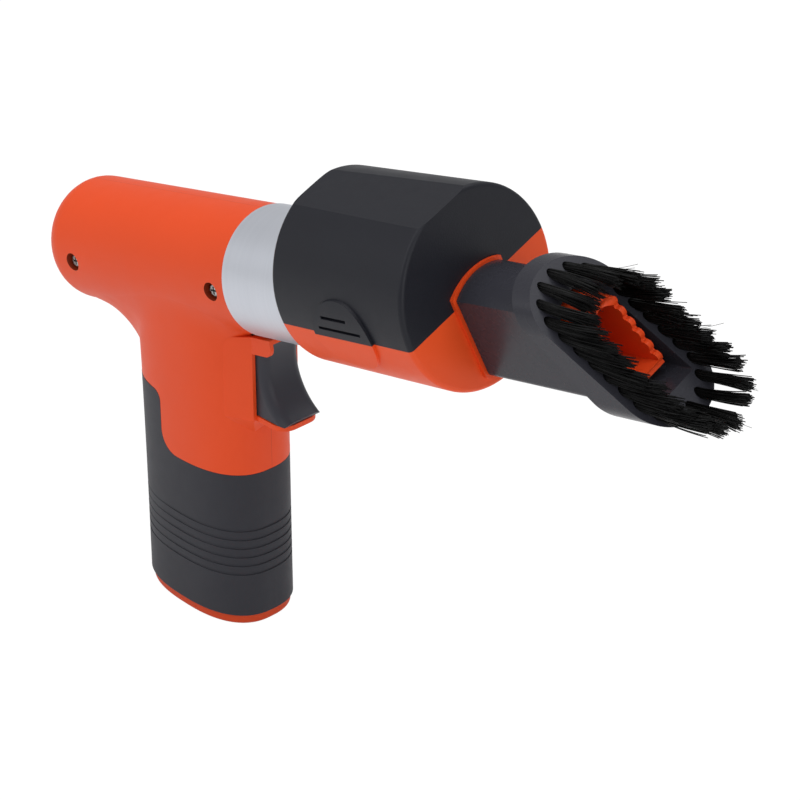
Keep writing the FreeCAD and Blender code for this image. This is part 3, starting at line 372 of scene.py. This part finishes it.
def mesh_piece(name, vertices, faces, material):
    """A smooth-shaded mesh object at the origin."""
    mesh = bpy.data.meshes.new(name)
    mesh.from_pydata(vertices.tolist(), [], faces.tolist())
    mesh.polygons.foreach_set("use_smooth", np.ones(len(mesh.polygons), bool))
    mesh.materials.append(material)
    made = bpy.data.objects.new(name, mesh)
    bpy.context.scene.collection.objects.link(made)
    return made


def tuft_filaments(rng):
    """Centre lines of all filaments, cup-frame millimetres, and their radii.

    A filament starts in its hole on a sunflower pattern, splays in proportion to its place
    in the hole, leans with the small clump it belongs to, and bows by a power of its
    length. The tufts of the near side bow inwards over the mouth, and those of the top end
    bow down. A length is the tuft's less a random part, so the tips are ragged.
    """
    middle, direction, out_across, out_along = tuft_layout()
    order = np.arange(FILAMENTS)
    spiral = order * 2.39996
    reach = np.sqrt((order + 0.5) / FILAMENTS)
    spot = np.stack([np.cos(spiral) * reach, np.sin(spiral) * reach], -1)
    across = np.cross(direction, np.array([0.0, 0.0, 1.0]))
    across /= np.linalg.norm(across, axis=1, keepdims=True)
    up = np.cross(across, direction)
    splay = 0.30 + 0.40 * rng.random((TUFTS, 1, 1))
    clump = ((order * 7) // FILAMENTS * 3 + order % 3) % 9
    clump_lean = rng.normal(0.0, 0.6, (TUFTS, 9, 2))[:, clump]
    stray = rng.normal(0.0, 0.2, (TUFTS, FILAMENTS, 2))
    bow = rng.normal(0.0, 0.6, (TUFTS, 1, 2)) + rng.normal(0.0, 0.22, (TUFTS, FILAMENTS, 2))
    near = np.clip(-out_across, 0.0, 1.0)
    top = np.clip(out_along, 0.0, 1.0)
    bow[:, :, 0] -= (4.6 * near + 1.6 * top)[:, None]
    bow[:, :, 1] -= (2.7 * near + 4.0 * top - 0.9 * np.clip(out_across, 0.0, 1.0))[:, None]
    length = TUFT_LENGTH * (1.0 - 0.14 * rng.random((TUFTS, FILAMENTS)) ** 2 - 0.05 * rng.random((TUFTS, 1)))
    s = np.linspace(0.0, 1.0, RINGS)
    root = spot * TUFT_RADIUS
    drift = (spot[None] * TUFT_RADIUS * splay + clump_lean + stray)[:, :, None] * s[None, None, :, None]
    bent = bow[:, :, None] * (s ** 2.2)[None, None, :, None]
    offset = root[None, :, None] + drift + bent
    forward = (-TUFT_ROOT + (length + TUFT_ROOT)[:, :, None] * s)[..., None]
    lines = (middle[:, None, None] + direction[:, None, None] * forward
             + across[:, None, None] * offset[..., :1] + up[:, None, None] * offset[..., 1:])
    lines = lines.reshape(-1, RINGS, 3)
    thick = FILAMENT_RADIUS * (1.0 - 0.25 * s)[None] * (0.8 + 0.4 * rng.random((len(lines), 1)))
    return lines, thick


rng = np.random.default_rng(11)
bristle_lines, bristle_thick = tuft_filaments(rng)
bristle_vertices, bristle_faces = sweep_filaments(cup_to_object(bristle_lines), bristle_thick * MM)
bristle_finish = Finish("black_nylon_filament", Specular_IOR_Level=0.14)
strands = bristle_finish.noise(700.0, 2.0)
black, dark = (0.0012, 0.0012, 0.0012, 1), (0.004, 0.004, 0.004, 1)
bristle_finish.feed("Base Color", bristle_finish.tint(strands, black, dark))
bristle_finish.feed("Roughness", strands * 0.22 + 0.2)
bristles = mesh_piece("bristles", bristle_vertices, bristle_faces, bristle_finish.material)
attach(bristles, "brush")
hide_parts("bristle_tufts")


# ---------------------------------------------------------------- stray bristles
# A few filaments have sprung out of their tufts with use, and stick out past the rest.
STRAYS = 26
middle, direction, out_across, out_along = tuft_layout()
owner = rng.integers(0, TUFTS, STRAYS)
s = np.linspace(0.0, 1.0, RINGS)[None, :, None]
swing = rng.normal(0.0, 2.6, (STRAYS, 1, 3)) * np.array([0.0, 1.0, 1.0])
stray_length = 17.0 + 3.2 * rng.random((STRAYS, 1, 1))
stray_lines = middle[owner][:, None] + direction[owner][:, None] * stray_length * s + swing * s ** 1.6
stray_thick = np.full((STRAYS, RINGS), 0.07)
stray_vertices, stray_faces = sweep_filaments(cup_to_object(stray_lines), stray_thick * MM)
strays = mesh_piece("stray_bristles", stray_vertices, stray_faces, bristle_finish.material)
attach(strays, "brush")
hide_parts("bristle_tufts")


# ---------------------------------------------------------------- flap, seal and cup back
# Soft black rubber parts and the plain moulded back plate, seen with the cup taken off.
rubber_finish = moulded("soft_rubber", (0.045, 0.045, 0.048), 0.66, 1500.0, 0.00003, 0.1)
for soft in ("inlet_flap", "filter_seal"):
    coat(soft, rubber_finish.material)
inner_finish = moulded("inner_plastic", (0.075, 0.075, 0.080), 0.5, 1800.0, 0.00002, 0.06)
inner_nodes = ("cup_back", "filter_frame", "filter_cage", "motor_mount", "fan_shroud", "impeller",
               "battery_frame", "charge_socket", "trigger_switch")
for inner in inner_nodes:
    coat(inner, inner_finish.material)
coat("bayonet_socket", housing_finish.material)


# ---------------------------------------------------------------- filter paper
# Pleated off-white filter paper with a soft fibrous face, greyed by dust.
paper_finish = Finish("filter_paper", Roughness=0.9)
fibres = paper_finish.noise(1300.0, 4.0)
greying = paper_finish.noise(90.0, 3.0)
paper_finish.feed("Base Color", paper_finish.tint(greying, (0.52, 0.50, 0.46, 1), (0.80, 0.78, 0.73, 1)))
paper_finish.bump(fibres, 0.00006)
coat("filter_media", paper_finish.material)


# ---------------------------------------------------------------- steel pins
# The rotor's shaft and the flap's pin are ground steel, with fine marks round them.
steel_finish = Finish("ground_steel", Metallic=1.0)
grinding = steel_finish.noise(2600.0, 2.0)
steel_finish.feed("Base Color", steel_finish.tint(grinding, (0.50, 0.51, 0.53, 1), (0.66, 0.67, 0.69, 1)))
steel_finish.feed("Roughness", grinding * 0.12 + 0.2)
for steel in ("rotor_shaft", "flap_pin"):
    coat(steel, steel_finish.material)


# ---------------------------------------------------------------- trigger spring
# A coil of thin steel wire round the switch's stud. It shortens as the trigger is pulled,
# to just over its solid height: the stem stops 2.4 mm from the spring's seat.
COIL_TURNS = 4
COIL_RADIUS = 3.2
WIRE_RADIUS = 0.2
SEAT_X, FREE_END_X, COIL_Z = 13.9, 20.1, 105.5
climb = np.linspace(0.0, 1.0, COIL_TURNS * 32 + 1)
around = climb * COIL_TURNS * 2 * math.pi
coil_line = np.stack([SEAT_X + (FREE_END_X - SEAT_X) * climb, COIL_RADIUS * np.sin(around),
                      COIL_Z - COIL_RADIUS * np.cos(around)], -1)
wire = np.full((1, len(climb)), WIRE_RADIUS * MM)
coil_vertices, coil_faces = sweep_filaments(coil_line[None] * MM, wire, (1, 0, 0))
spring = mesh_piece("return_spring", coil_vertices, coil_faces, steel_finish.material)
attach(spring, "main")
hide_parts("trigger_spring")
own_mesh(spring)


# ---------------------------------------------------------------- motor can, cells and board
# The motor's can is zinc plated, the cells have plain blue shrink film, and the green
# circuit board shows its copper tracks.
can_finish = Finish("zinc_can", Metallic=0.9)
spangle = can_finish.noise(300.0, 3.0)
can_finish.feed("Base Color", can_finish.tint(spangle, (0.45, 0.45, 0.46, 1), (0.62, 0.62, 0.64, 1)))
can_finish.feed("Roughness", spangle * 0.2 + 0.3)
coat("motor_can", can_finish.material)

film_finish = moulded("cell_film", (0.05, 0.17, 0.34), 0.3, 600.0, 0.00002, 0.06)
coat("battery_cells", film_finish.material)

board_finish = Finish("circuit_board", Roughness=0.35)
tracks = board_finish.node("ShaderNodeTexBrick", {}, {"Vector": board_finish.place, "Scale": 260.0,
                                                       "Mortar Size": 0.03}, "Fac")
board_finish.feed("Base Color", board_finish.tint(tracks, (0.012, 0.11, 0.045, 1), (0.03, 0.24, 0.10, 1)))
coat("control_board", board_finish.material)


# ---------------------------------------------------------------- floor and light
# A white sweep under soft boxes: a broad one high on the left, one overhead and a weaker
# one on the right. The floor shows as white but keeps the cleaner's shadow.
floor_mesh = bpy.data.meshes.new("floor")
reach = 6.0
corners = [(-reach, -reach, 0), (reach, -reach, 0), (reach, reach, 0), (-reach, reach, 0)]
floor_mesh.from_pydata(corners, [], [(0, 1, 2, 3)])
floor = bpy.data.objects.new("floor", floor_mesh)
bpy.context.scene.collection.objects.link(floor)
floor_material = bpy.data.materials.new("white_floor")
floor_material.use_nodes = True
tree = floor_material.node_tree
tree.nodes.clear()
diffuse = tree.nodes.new("ShaderNodeBsdfDiffuse")
diffuse.inputs["Color"].default_value = (0.86, 0.86, 0.86, 1)
glow = tree.nodes.new("ShaderNodeEmission")
glow.inputs["Color"].default_value = (1, 1, 1, 1)
glow.inputs["Strength"].default_value = 1.06
path = tree.nodes.new("ShaderNodeLightPath")
mixer = tree.nodes.new("ShaderNodeMixShader")
output = tree.nodes.new("ShaderNodeOutputMaterial")
mirrored = tree.nodes.new("ShaderNodeMath")
mirrored.operation = "MAXIMUM"
dimmed = tree.nodes.new("ShaderNodeMath")
dimmed.operation = "MULTIPLY"
dimmed.inputs[1].default_value = 0.40
shown = tree.nodes.new("ShaderNodeMath")
shown.operation = "MULTIPLY"
shown.inputs[1].default_value = 0.93
share = tree.nodes.new("ShaderNodeMath")
share.operation = "MAXIMUM"
tree.links.new(path.outputs["Is Glossy Ray"], mirrored.inputs[0])
tree.links.new(path.outputs["Is Transmission Ray"], mirrored.inputs[1])
tree.links.new(mirrored.outputs[0], dimmed.inputs[0])
tree.links.new(path.outputs["Is Camera Ray"], shown.inputs[0])
tree.links.new(shown.outputs[0], share.inputs[0])
tree.links.new(dimmed.outputs[0], share.inputs[1])
tree.links.new(share.outputs[0], mixer.inputs[0])
tree.links.new(diffuse.outputs[0], mixer.inputs[1])
tree.links.new(glow.outputs[0], mixer.inputs[2])
tree.links.new(mixer.outputs[0], output.inputs["Surface"])
floor_mesh.materials.append(floor_material)

world = bpy.data.worlds.new("studio")
bpy.context.scene.world = world
world.use_nodes = True
sky = world.node_tree
background = sky.nodes["Background"]
background.inputs["Color"].default_value = (1, 1, 1, 1)
seen = sky.nodes.new("ShaderNodeLightPath")
level = sky.nodes.new("ShaderNodeMapRange")
level.inputs["To Min"].default_value = 0.42
level.inputs["To Max"].default_value = 1.0
sky.links.new(seen.outputs["Is Camera Ray"], level.inputs["Value"])
sky.links.new(level.outputs["Result"], background.inputs["Strength"])

for name, spot, width, watts in (("key", (-0.55, -1.25, 1.15), 1.3, 8.8),
                                 ("overhead", (0.0, 0.25, 1.5), 1.6, 14.5),
                                 ("right", (1.5, -0.35, 0.7), 0.9, 5.5)):
    lamp_data = bpy.data.lights.new(name, "AREA")
    lamp_data.size = width
    lamp_data.energy = watts
    lamp_data.color = (0.97, 0.98, 1.0)
    lamp = bpy.data.objects.new(name, lamp_data)
    lamp.location = spot
    lamp.rotation_euler = (Vector((0.1, 0, 0.12)) - Vector(spot)).to_track_quat("-Z", "Y").to_euler()
    bpy.context.scene.collection.objects.link(lamp)

bpy.context.scene.view_settings.view_transform = "Standard"
